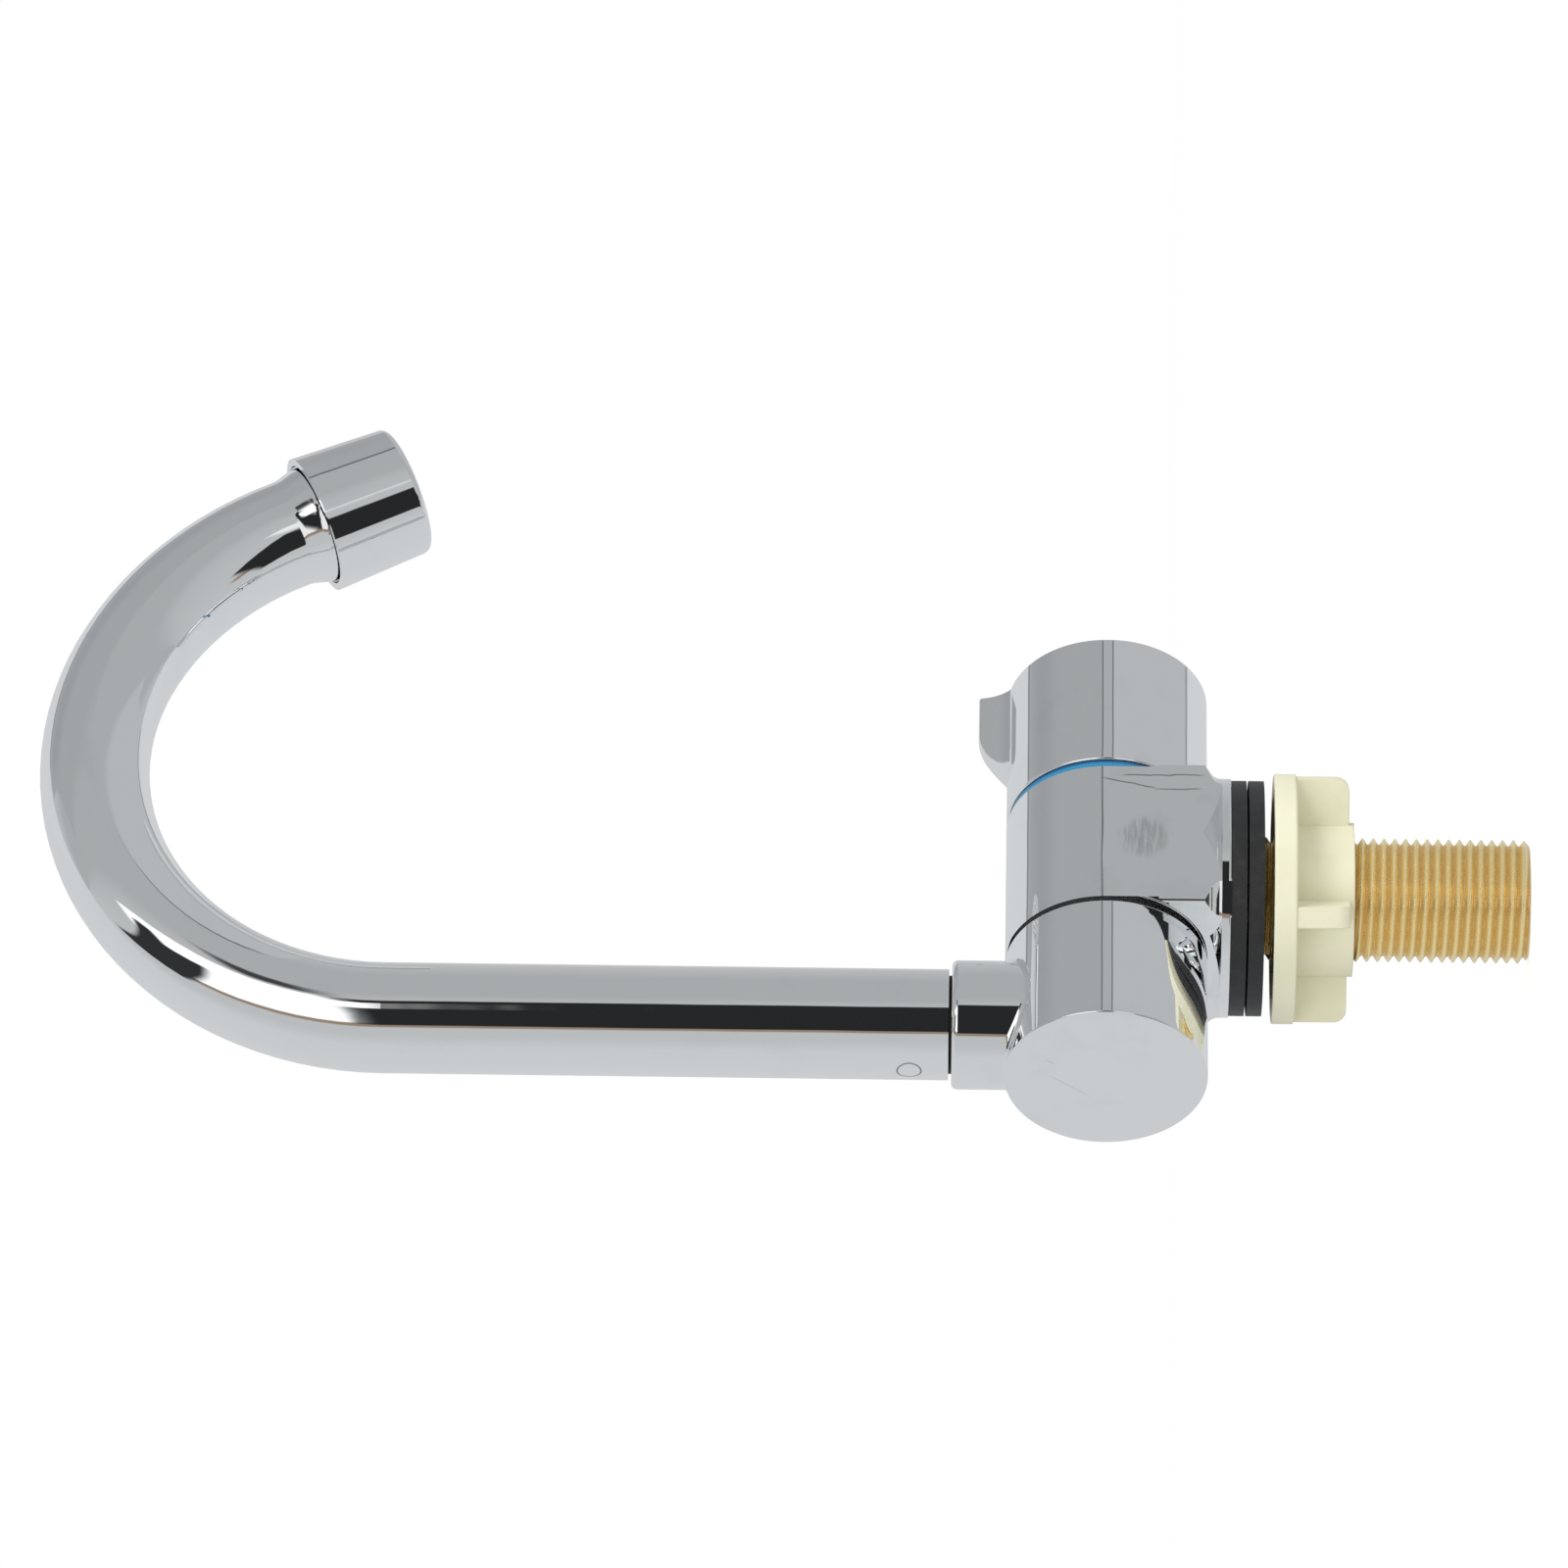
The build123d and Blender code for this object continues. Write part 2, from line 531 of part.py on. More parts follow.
# Knob: drum closed at its end, with a boss for the spindle
knob_floor_x = KNOB_END_X - KNOB_END_T
boss_x = spline_x + BOSS_GAP
knob_screw_x = boss_x + KNOB_SCREW_IN
with BuildPart() as knob:
    with BuildSketch(across_barrel(KNOB_X)):
        Circle(BARREL_R)
    extrude(amount=KNOB_LENGTH)
    fillet(knob.edges().filter_by(GeomType.CIRCLE), EDGE_ROUND)
    with BuildSketch(across_barrel(KNOB_X)):
        Circle(BARREL_R - KNOB_WALL)
    extrude(amount=KNOB_LENGTH - KNOB_END_T, mode=Mode.SUBTRACT)
    with BuildSketch(across_barrel(knob_floor_x)):
        Circle(BOSS_R)
    extrude(amount=boss_x - knob_floor_x)
    with BuildSketch(across_barrel(boss_x)):
        Circle(SPLINE_R)
        Rectangle(2 * SPLINE_R, SPLINE_FLATS, mode=Mode.INTERSECT)
    extrude(amount=SPLINE_LENGTH + SPLINE_END_GAP - BOSS_GAP, mode=Mode.SUBTRACT)
    add(fin.part)
    with BuildSketch(Plane(origin=(knob_screw_x, 0, AXIS_Z), x_dir=(1, 0, 0), z_dir=(0, 1, 0))):
        Circle(KNOB_SCREW_R)
    extrude(amount=BARREL_R + CUT_SPARE, mode=Mode.SUBTRACT)
knob.part.label = "knob"
export_step(knob.part, "parts/knob.step")

# Knob screw: a grub screw at the back, against the spindle
with BuildPart() as knob_screw:
    with BuildSketch(Plane(origin=(knob_screw_x, SPLINE_R, AXIS_Z), x_dir=(1, 0, 0), z_dir=(0, 1, 0))):
        Circle(KNOB_SCREW_R)
    extrude(amount=KNOB_SCREW_LENGTH)
    screw_top = SPLINE_R + KNOB_SCREW_LENGTH
    with BuildSketch(Plane(origin=(knob_screw_x, screw_top, AXIS_Z), x_dir=(1, 0, 0), z_dir=(0, 1, 0))):
        RegularPolygon(SCREW_SOCKET_FLATS / 2, 6, major_radius=False)
    extrude(amount=-SCREW_SOCKET_DEPTH, mode=Mode.SUBTRACT)
knob_screw.part.label = "knob_screw"
export_step(knob_screw.part, "parts/knob_screw.step")

# Folding pivot stations along the barrel
pivot_end_x = HUB_END_X + HUB_END_T + PIVOT_END_GAP
waist_x = COLLAR_X + WAIST_LENGTH / 2
waist_end_x = COLLAR_X - WAIST_LENGTH / 2
groove_x = HUB_X - SCREW_GROOVE_START
groove_end_x = groove_x - SCREW_GROOVE_LENGTH
pivot_seal_x = [(groove_end_x + waist_x) / 2, (waist_end_x + pivot_end_x) / 2]
pivot_groove_r = PIVOT_R - SEAL_SECTION


def seal_groove(along, out_r, section_d):
    """Outline points of an O-ring groove, read towards lower values of along."""
    near = along + section_d / 2
    far = along - section_d / 2
    return [(near, out_r), (near, out_r - section_d), (far, out_r - section_d), (far, out_r)]


# Fold pivot: flange seated in the body, journal with grooves, waist with ports
pivot_outline = [
    (-BODY_HALF + PIVOT_SEAT_DEPTH, PIVOT_BORE_R),
    (-BODY_HALF + PIVOT_SEAT_DEPTH, PIVOT_SEAT_R),
    (-BODY_HALF, PIVOT_SEAT_R),
    (-BODY_HALF, PIVOT_R),
    (groove_x, PIVOT_R),
    (groove_x, SCREW_GROOVE_R),
    (groove_end_x, SCREW_GROOVE_R),
    (groove_end_x, PIVOT_R),
]
pivot_outline += seal_groove(pivot_seal_x[0], PIVOT_R, SEAL_SECTION)
pivot_outline += [(waist_x, PIVOT_R), (waist_x, WAIST_R), (waist_end_x, WAIST_R), (waist_end_x, PIVOT_R)]
pivot_outline += seal_groove(pivot_seal_x[1], PIVOT_R, SEAL_SECTION)
pivot_outline += [
    (pivot_end_x, PIVOT_R),
    (pivot_end_x, 0),
    (pivot_end_x + PIVOT_CLOSED_T, 0),
    (pivot_end_x + PIVOT_CLOSED_T, PIVOT_BORE_R),
]
with BuildPart() as fold_pivot:
    revolve(turned(BARREL_SECTION, pivot_outline), axis=BARREL_AXIS)
    for turn in range(PIVOT_PORTS // 2):
        port_plane = Plane(origin=(COLLAR_X, 0, AXIS_Z)).rotated((turn * 360 / PIVOT_PORTS, 0, 0))
        with BuildSketch(port_plane):
            Circle(PIVOT_PORT_R)
        extrude(amount=PIVOT_R, both=True, mode=Mode.SUBTRACT)
fold_pivot.part.label = "fold_pivot"
export_step(fold_pivot.part, "parts/fold_pivot.step")

# Fold seals, an O-ring on each side of the waist
with BuildPart() as fold_seals:
    for along in pivot_seal_x:
        revolve(o_ring(BARREL_SECTION, along, PIVOT_R, SEAL_SECTION), axis=BARREL_AXIS)
fold_seals.part.label = "fold_seals"
export_step(fold_seals.part, "parts/fold_seals.step")

# Fold washer: the dark line between the body and the hub
with BuildPart() as fold_washer:
    with BuildSketch(across_barrel(-BODY_HALF)):
        Circle(FOLD_WASHER_R)
        Circle(PIVOT_R, mode=Mode.SUBTRACT)
    extrude(amount=-WASHER_T)
fold_washer.part.label = "fold_washer"
export_step(fold_washer.part, "parts/fold_washer.step")

# Spout hub: drum with a side collar, blind bore for the pivot and socket for the spigot
spigot_root_z = COLLAR_RISE - SPIGOT_ROOT_LENGTH
with BuildPart() as spout_hub:
    with BuildSketch(across_barrel(HUB_X)):
        Circle(BARREL_R)
    extrude(amount=-HUB_LENGTH)
    fillet(spout_hub.edges().filter_by(GeomType.CIRCLE), EDGE_ROUND)
    with BuildSketch(Plane.XY.offset(AXIS_Z)):
        with Locations((COLLAR_X, 0)):
            Circle(COLLAR_R)
    extrude(amount=COLLAR_RISE)
    joining_edges = spout_hub.edges(Select.LAST)
    collar_root = joining_edges.filter_by(lambda e: e.geom_type not in (GeomType.CIRCLE, GeomType.LINE))
    fillet(collar_root, COLLAR_ROOT_ROUND)
    collar_rim = spout_hub.edges().filter_by(GeomType.CIRCLE).sort_by(Axis.Z)[-1]
    fillet(collar_rim, COLLAR_ROUND)
    with BuildSketch(across_barrel(HUB_X)):
        Circle(PIVOT_R + RUN_GAP)
    extrude(amount=-(HUB_LENGTH - HUB_END_T), mode=Mode.SUBTRACT)
    with BuildSketch(Plane.XY.offset(COLLAR_Z)):
        with Locations((COLLAR_X, 0)):
            Circle(SPIGOT_ROOT_R)
    extrude(amount=-SPIGOT_ROOT_LENGTH, mode=Mode.SUBTRACT)
    with BuildSketch(Plane.XY.offset(AXIS_Z + spigot_root_z)):
        with Locations((COLLAR_X, 0)):
            Circle(SPIGOT_BORE_R)
    extrude(amount=-spigot_root_z, mode=Mode.SUBTRACT)
    hub_screw_x = (groove_x + groove_end_x) / 2
    with BuildSketch(Plane.XY.offset(AXIS_Z)):
        with Locations((hub_screw_x, 0)):
            Circle(HUB_SCREW_R)
    extrude(amount=-BARREL_R, mode=Mode.SUBTRACT)
spout_hub.part.label = "spout_hub"
export_step(spout_hub.part, "parts/spout_hub.step")

# Hub screw: a grub screw below, whose tip runs in the pivot's groove
hub_screw_low = AXIS_Z - BARREL_R + HUB_SCREW_SUNK
with BuildPart() as hub_screw:
    with BuildSketch(Plane.XY.offset(hub_screw_low)):
        with Locations((hub_screw_x, 0)):
            Circle(HUB_SCREW_R)
    extrude(amount=BARREL_R - HUB_SCREW_SUNK - SCREW_GROOVE_R - 2 * RUN_GAP)
    with BuildSketch(Plane.XY.offset(hub_screw_low)):
        with Locations((hub_screw_x, 0)):
            RegularPolygon(SCREW_SOCKET_FLATS / 2, 6, major_radius=False)
    extrude(amount=SCREW_SOCKET_DEPTH, mode=Mode.SUBTRACT)
hub_screw.part.label = "hub_screw"
export_step(hub_screw.part, "parts/hub_screw.step")

# Spout spigot: screwed into the collar, carries the tube's seals, bush and pin groove
journal_r = TUBE_BORE_R - SPIGOT_SLACK
pin_z = COLLAR_RISE + TUBE_GAP + PIN_RISE
pin_groove_top = pin_z + PIN_GROOVE_LENGTH / 2
land_top = pin_groove_top + SEAL_LAND
spigot_top = land_top + BUSH_LENGTH
bush_bore_r = journal_r - BUSH_T
land_mid = pin_groove_top + SEAL_LAND / 2
tube_seal_z = [land_mid - TUBE_SEAL_SPACING / 2, land_mid + TUBE_SEAL_SPACING / 2]
spigot_outline = [
    (SPIGOT_BORE_R, spigot_root_z),
    (SPIGOT_ROOT_R, spigot_root_z),
    (SPIGOT_ROOT_R, COLLAR_RISE),
    (journal_r, COLLAR_RISE),
    (journal_r, pin_groove_top - PIN_GROOVE_LENGTH),
    (journal_r - PIN_GROOVE_DEPTH, pin_groove_top - PIN_GROOVE_LENGTH),
    (journal_r - PIN_GROOVE_DEPTH, pin_groove_top),
    (journal_r, pin_groove_top),
]
for along in tube_seal_z:
    spigot_outline += [(out, at) for at, out in reversed(seal_groove(along, journal_r, SEAL_SECTION))]
spigot_outline += [
    (journal_r, land_top),
    (bush_bore_r, land_top),
    (bush_bore_r, spigot_top),
    (SPIGOT_BORE_R, spigot_top),
]
with BuildPart() as spout_spigot:
    revolve(turned(COLLAR_SECTION, spigot_outline), axis=COLLAR_AXIS)
spout_spigot.part.label = "spout_spigot"
export_step(spout_spigot.part, "parts/spout_spigot.step")

# Spigot seals, two O-rings inside the tube
with BuildPart() as spigot_seals:
    for along in tube_seal_z:
        with BuildSketch(COLLAR_SECTION):
            with Locations((journal_r - SEAL_SECTION / 2, along)):
                Circle(SEAL_SECTION / 2)
        revolve(axis=COLLAR_AXIS)
spigot_seals.part.label = "spigot_seals"
export_step(spigot_seals.part, "parts/spigot_seals.step")

# Spout bush, the plastic bearing at the spigot's top
with BuildPart() as spout_bush:
    with BuildSketch(Plane.XY.offset(AXIS_Z + land_top)):
        with Locations((COLLAR_X, 0)):
            Circle(journal_r)
            Circle(bush_bore_r, mode=Mode.SUBTRACT)
    extrude(amount=BUSH_LENGTH)
spout_bush.part.label = "spout_bush"
export_step(spout_bush.part, "parts/spout_bush.step")

# Spout centre line: straight rise, main bend, flatter bend towards the tip, short straight tip
tube_start = COLLAR_RISE + TUBE_GAP
with BuildLine(SPOUT_PLANE) as centre_line:
    rise = Line((0, tube_start), (0, STRAIGHT_TOP))
    bend = JernArc(rise @ 1, rise % 1, BEND_R, -BEND_ANGLE)
    tip_bend = JernArc(bend @ 1, bend % 1, TIP_BEND_R, -TIP_BEND_ANGLE)
tip_start = centre_line.line @ 1
tip_direction = centre_line.line % 1
tip_side = Vector(*SPOUT_PLANE.z_dir)
TIP_PLANE = Plane(origin=tip_start, x_dir=tip_direction, z_dir=tip_side)
TIP_AXIS = Axis(tip_start, tip_direction)
OUTLET_PLANE = Plane(origin=tip_start, x_dir=tip_side, z_dir=tip_direction)
pin_direction = (-REACH[0], -REACH[1], 0)
PIN_PLANE = Plane(origin=(COLLAR_X, 0, AXIS_Z + pin_z), x_dir=(0, 0, 1), z_dir=pin_direction)

# Spout tube, bent and flared at its tip
flare_end = FLARE_START + FLARE_LENGTH
flare_mid = FLARE_START + FLARE_LENGTH / 2
with BuildPart() as spout_tube:
    with BuildSketch(Plane.XY.offset(AXIS_Z + tube_start)):
        with Locations((COLLAR_X, 0)):
            Circle(TUBE_R)
            Circle(TUBE_BORE_R, mode=Mode.SUBTRACT)
    sweep(path=centre_line.line)
    with BuildSketch(TIP_PLANE):
        with BuildLine():
            Line((0, TUBE_BORE_R), (0, TUBE_R))
            Line((0, TUBE_R), (FLARE_START, TUBE_R))
            Spline((FLARE_START, TUBE_R), (flare_end, FLARE_R), tangents=((1, 0), (1, 0)))
            Line((flare_end, FLARE_R), (TIP_STRAIGHT, FLARE_R))
            Line((TIP_STRAIGHT, FLARE_R), (TIP_STRAIGHT, FLARE_R - TUBE_WALL))
            Line((TIP_STRAIGHT, FLARE_R - TUBE_WALL), (flare_end, FLARE_R - TUBE_WALL))
            Spline((flare_end, FLARE_R - TUBE_WALL), (FLARE_START, TUBE_BORE_R), tangents=((-1, 0), (-1, 0)))
            Line((FLARE_START, TUBE_BORE_R), (0, TUBE_BORE_R))
        make_face()
    revolve(axis=TIP_AXIS)
    with BuildSketch(PIN_PLANE):
        Circle(PIN_R)
    extrude(amount=TUBE_R + CUT_SPARE, mode=Mode.SUBTRACT)
spout_tube.part.label = "spout_tube"
export_step(spout_tube.part, "parts/spout_tube.step")

# Spout pin: pressed into the tube, its tip runs in the spigot's groove
with BuildPart() as spout_pin:
    with BuildSketch(PIN_PLANE.offset(journal_r - PIN_GROOVE_DEPTH + 2 * RUN_GAP)):
        Circle(PIN_R)
    extrude(amount=TUBE_R)
    with BuildSketch(Plane.XY.offset(AXIS_Z + pin_z - 2 * PIN_R)):
        with Locations((COLLAR_X, 0)):
            Circle(TUBE_R)
    extrude(amount=4 * PIN_R, mode=Mode.INTERSECT)
spout_pin.part.label = "spout_pin"
export_step(spout_pin.part, "parts/spout_pin.step")

# Outlet stations along the tip's axis
sleeve_x = TIP_STRAIGHT - FLARE_INSERT
sleeve_end_x = sleeve_x + SLEEVE_LENGTH
thread_end_x = TIP_STRAIGHT + NIPPLE_LENGTH
cage_x = thread_end_x + AERATOR_SEAL_T
lip_x = sleeve_end_x - SLEEVE_LIP_T
cage_r = NIPPLE_THREAD_R - RUN_GAP
flare_bore_r = FLARE_R - TUBE_WALL

# Outlet nipple, soldered into the flare
nipple_outline = [
    (flare_end, NIPPLE_BORE_R),
    (flare_end, flare_bore_r),
    (TIP_STRAIGHT, flare_bore_r),
    (TIP_STRAIGHT, NIPPLE_THREAD_R),
    (thread_end_x, NIPPLE_THREAD_R),
    (thread_end_x, NIPPLE_BORE_R),
]
with BuildPart() as outlet_nipple:
    revolve(turned(TIP_PLANE, nipple_outline), axis=TIP_AXIS)
outlet_nipple.part.label = "outlet_nipple"
export_step(outlet_nipple.part, "parts/outlet_nipple.step")

# Aerator sleeve: slightly tapered, open behind and with a lip at the outlet
mouth_x = TIP_STRAIGHT + MOUTH_SPARE
sleeve_outline = [
    (sleeve_x, SLEEVE_MOUTH_R),
    (sleeve_x, SLEEVE_BACK_R),
    (sleeve_end_x, SLEEVE_FRONT_R),
    (sleeve_end_x, SLEEVE_LIP_R),
    (lip_x, SLEEVE_LIP_R),
    (lip_x, NIPPLE_THREAD_R),
    (mouth_x, NIPPLE_THREAD_R),
    (mouth_x, SLEEVE_MOUTH_R),
]
with BuildPart() as aerator_sleeve:
    revolve(turned(TIP_PLANE, sleeve_outline), axis=TIP_AXIS)
    outlet_rim = aerator_sleeve.edges().filter_by(GeomType.CIRCLE)
    outlet_rim = outlet_rim.filter_by(lambda e: abs(e.radius - SLEEVE_FRONT_R) < RADIUS_MATCH)
    fillet(outlet_rim, SLEEVE_ROUND)
aerator_sleeve.part.label = "aerator_sleeve"
export_step(aerator_sleeve.part, "parts/aerator_sleeve.step")

# Aerator seal, a flat rubber washer
with BuildPart() as aerator_seal:
    with BuildSketch(OUTLET_PLANE.offset(thread_end_x)):
        Circle(cage_r)
        Circle(NIPPLE_BORE_R, mode=Mode.SUBTRACT)
    extrude(amount=AERATOR_SEAL_T)
aerator_seal.part.label = "aerator_seal"
export_step(aerator_seal.part, "parts/aerator_seal.step")


def hole_rings(pitch, rings):
    """Hole centres on a face: one in the middle and six more in each ring around it."""
    centres = [(0, 0)]
    for ring in range(1, rings):
        for step in range(6 * ring):
            turn = radians(60 / ring * step)
            centres.append((ring * pitch * cos(turn), ring * pitch * sin(turn)))
    return centres


# Aerator cage: cup with a holed outlet plate
cage_end_x = lip_x
with BuildPart() as aerator_cage:
    with BuildSketch(OUTLET_PLANE.offset(cage_x)):
        Circle(cage_r)
        Circle(cage_r - CAGE_WALL, mode=Mode.SUBTRACT)
    extrude(amount=cage_end_x - cage_x - CAGE_GRID_T)
    with BuildSketch(OUTLET_PLANE.offset(cage_end_x)):
        Circle(cage_r)
        with Locations(*hole_rings(GRID_PITCH, GRID_RINGS)):
            Circle(GRID_HOLE_R, mode=Mode.SUBTRACT)
    extrude(amount=-CAGE_GRID_T)
aerator_cage.part.label = "aerator_cage"
export_step(aerator_cage.part, "parts/aerator_cage.step")

# Aerator screen, a steel disc in the cage
with BuildPart() as aerator_screen:
    with BuildSketch(OUTLET_PLANE.offset(cage_end_x - CAGE_GRID_T)):
        Circle(cage_r - CAGE_WALL)
        with Locations(*hole_rings(SCREEN_PITCH, GRID_RINGS)):
            Circle(SCREEN_HOLE_R, mode=Mode.SUBTRACT)
    extrude(amount=-SCREEN_T)
aerator_screen.part.label = "aerator_screen"
export_step(aerator_screen.part, "parts/aerator_screen.step")
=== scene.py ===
"""Folding caravan tap: finishes, thread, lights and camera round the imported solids.

Metres, in the tap's own frame: +Z up the shank, +X towards the knob, -Y to the front.
"""
import math

import bpy
import numpy as np
from mathutils import Matrix, Vector


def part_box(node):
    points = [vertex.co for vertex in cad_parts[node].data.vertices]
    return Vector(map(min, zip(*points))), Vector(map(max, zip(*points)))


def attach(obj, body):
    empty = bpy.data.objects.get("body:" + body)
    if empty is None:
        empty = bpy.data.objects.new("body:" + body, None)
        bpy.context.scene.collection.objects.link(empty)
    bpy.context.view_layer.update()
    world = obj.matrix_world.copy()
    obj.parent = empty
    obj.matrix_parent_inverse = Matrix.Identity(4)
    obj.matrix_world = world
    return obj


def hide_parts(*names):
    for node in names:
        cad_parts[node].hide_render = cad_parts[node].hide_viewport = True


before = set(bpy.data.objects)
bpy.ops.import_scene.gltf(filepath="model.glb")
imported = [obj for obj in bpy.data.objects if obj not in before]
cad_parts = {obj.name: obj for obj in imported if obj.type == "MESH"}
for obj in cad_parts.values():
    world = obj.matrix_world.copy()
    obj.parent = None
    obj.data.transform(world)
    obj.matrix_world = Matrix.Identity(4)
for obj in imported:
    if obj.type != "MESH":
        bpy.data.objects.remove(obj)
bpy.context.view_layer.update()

MM = 0.001

# Camera, as fitted to the photograph
PHOTO_PIXELS = 1600
FOCAL_PIXELS = 12000
PIXELS_PER_MM = 6.05
CAMERA_TURN = math.radians(41.4)  # round the shank, from the front towards the hub
CAMERA_TILT = math.radians(-1.0)
CAMERA_ROLL = math.radians(-0.7)
PHOTO_CENTRE = (-75.1, 19.3)  # mm right of and above the flange, as the camera sees it
FLANGE_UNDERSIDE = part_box("tap_body")[0].z

# Shank, with a G 1/2 thread
SHANK_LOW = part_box("inlet_shank")[0].z
SHANK_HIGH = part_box("inlet_shank")[1].z
SHANK_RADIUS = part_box("inlet_shank")[1].x  # over the thread's crests
SHANK_CHAMFER = 0.9 * MM
BORE_RADIUS = 7.6 * MM
BORE_CHAMFER = 0.25 * MM
THREAD_PITCH = 1.814 * MM
THREAD_DEPTH = 1.1 * MM
THREAD_TOP = 1.0 * MM
THREAD_RUNOUT = 2  # turns over which the thread fades in under its top
THREAD_POINT = 0.35  # share of a plain triangle in the thread's rounded wave
STEPS_ROUND = 128
STEPS_DOWN = 430
SMOOTH_ANGLE = math.radians(50)

# Colours
CHROME = (0.935, 0.945, 0.955)
CHROME_SMUDGED = (0.88, 0.89, 0.9)
CHROME_MARK_AND_REFLECTION = (0.2, 0.2, 0.205)
BRASS_BRIGHT = (1.0, 0.8, 0.42)
# Painted highlight on the thread's crests
BRASS_PAINTED_HIGHLIGHT = (1.0, 0.86, 0.5)
BRASS_INNER = (0.86, 0.66, 0.34)
# Painted shade: the spigot's brass darkened where it shows in the gap inside the tube
BRASS_PAINTED_SHADE = (0.06, 0.05, 0.035)

# Studio
TAP_MIDDLE = (0.02, 0, 0.08)
FLOOR_REACH = 3.0
FLOOR_GAP = 0.2 * MM
FLOOR_GLOW = 0.48  # what the camera sees added to the lit floor


# Node graphs

class Wire:
    """A node's output. Arithmetic on it adds Math nodes to the same graph."""

    def __init__(self, graph, socket):
        self.graph = graph
        self.socket = socket

    def __add__(self, other):
        return self.graph.maths("ADD", self, other)

    def __sub__(self, other):
        return self.graph.maths("SUBTRACT", self, other)

    def __rsub__(self, other):
        return self.graph.maths("SUBTRACT", other, self)

    def __mul__(self, other):
        return self.graph.maths("MULTIPLY", self, other)

    def __truediv__(self, other):
        return self.graph.maths("DIVIDE", self, other)

    def __abs__(self):
        return self.graph.maths("ABSOLUTE", self)

    __radd__ = __add__
    __rmul__ = __mul__

    def ramp(self, low, high):
        """0 below low, 1 above high, and a smooth step between them."""
        settings = {"interpolation_type": "SMOOTHSTEP"}
        inputs = {"Value": self, "From Min": low, "From Max": high}
        return self.graph.node("ShaderNodeMapRange", settings, inputs)


class Graph:
    """A material's or the world's nodes, emptied and ready to be filled."""

    def __init__(self, owner):
        owner.use_nodes = True
        self.tree = owner.node_tree
        self.tree.nodes.clear()

    def node(self, kind, settings=None, inputs=None, output=0):
        """Adds a node: its settings first, then its sockets' values or wires.

        It gives the wire of one output, or a list of wires where output is a tuple of names.
        """
        node = self.tree.nodes.new(kind)
        for name, value in (settings or {}).items():
            if name == "stops":
                self.stops(node.color_ramp, value)
            else:
                setattr(node, name, value)
        for key, value in (inputs or {}).items():
            if isinstance(value, Wire):
                self.tree.links.new(value.socket, node.inputs[key])
            else:
                node.inputs[key].default_value = value
        if isinstance(output, tuple):
            return [Wire(self, node.outputs[key]) for key in output]
        return Wire(self, node.outputs[output]) if node.outputs else None

    def stops(self, ramp, stops):
        """Sets a colour ramp's stops, each a place from 0 to 1 and a colour."""
        while len(ramp.elements) > 1:
            ramp.elements.remove(ramp.elements[-1])
        for index, (place, colour) in enumerate(stops):
            stop = ramp.elements[0] if index == 0 else ramp.elements.new(place)
            stop.position = place
            stop.color = (*colour, 1.0)

    def maths(self, operation, *values):
        """A Math node on wires and numbers."""
        return self.node("ShaderNodeMath", {"operation": operation}, dict(enumerate(values)))

    def distance(self, first, second):
        """Distance from an axis, of a point with these two coordinates across it."""
        return self.maths("SQRT", first * first + second * second)

    def mix(self, factor, first, second):
        """A mix of two colours, each a wire or three numbers."""
        first, second = [c if isinstance(c, Wire) else (*c, 1.0) for c in (first, second)]
        inputs = {0: factor, 6: first, 7: second}
        return self.node("ShaderNodeMix", {"data_type": "RGBA"}, inputs, output=2)

    def place(self, scale=(1, 1, 1)):
        """Object coordinates in metres, scaled per axis."""
        coords = self.node("ShaderNodeTexCoord", output=3)
        return self.node("ShaderNodeMapping", None, {"Vector": coords, "Scale": scale})

    def axes(self):
        """The three object coordinates in metres, each by itself."""
        return self.node("ShaderNodeSeparateXYZ", None, {0: self.place()}, output=("X", "Y", "Z"))

    def noise(self, size, detail=2.0, rough=0.5, scale=(1, 1, 1)):
        """Noise whose lumps are about size metres across."""
        inputs = {"Vector": self.place(scale), "Scale": 1 / size, "Detail": detail, "Roughness": rough}
        return self.node("ShaderNodeTexNoise", None, inputs)

    def bump(self, height, depth, below=None):
        """A bump whose height wire spans depth metres, over another normal if one is given."""
        inputs = {"Height": height, "Distance": depth, "Strength": 1.0}
        if below is not None:
            inputs["Normal"] = below
        return self.node("ShaderNodeBump", None, inputs)


def stroke(across, along, start, end, width):
    """1 on a straight stroke between two points of a face, fading out at its sides and its ends."""
    run = (end[0] - start[0], end[1] - start[1])
    length = math.hypot(*run)
    run = (run[0] / length, run[1] / length)
    right, ahead = across - start[0], along - start[1]
    beside = abs(right * run[1] - ahead * run[0])
    forward = right * run[0] + ahead * run[1]
    fade = min(length / 3, 2 * MM)
    ends = forward.ramp(0, fade) * (1 - forward.ramp(length - fade, length))
    return (1 - beside.ramp(width * 0.3, width)) * ends


def tinted(colour, shares):
    """A colour with each channel scaled by its own share."""
    return tuple(channel * share for channel, share in zip(colour, shares))


def make_finish(name, paint, **constants):
    """A material: paint gives what varies, and constants are set on the shader's own sockets."""
    material = bpy.data.materials.new(name)
    graph = Graph(material)
    inputs = paint(graph)
    inputs.update({key.replace("_", " "): value for key, value in constants.items()})
    shader = graph.node("ShaderNodeBsdfPrincipled", None, inputs)
    graph.node("ShaderNodeOutputMaterial", None, {"Surface": shader})
    return material


# Marks and painted reflections on the chrome: each function gives how dark and how dull they make it, from
# 0 to 1

def no_marks(graph):
    """Nothing worn."""
    return 0.0, 0.0


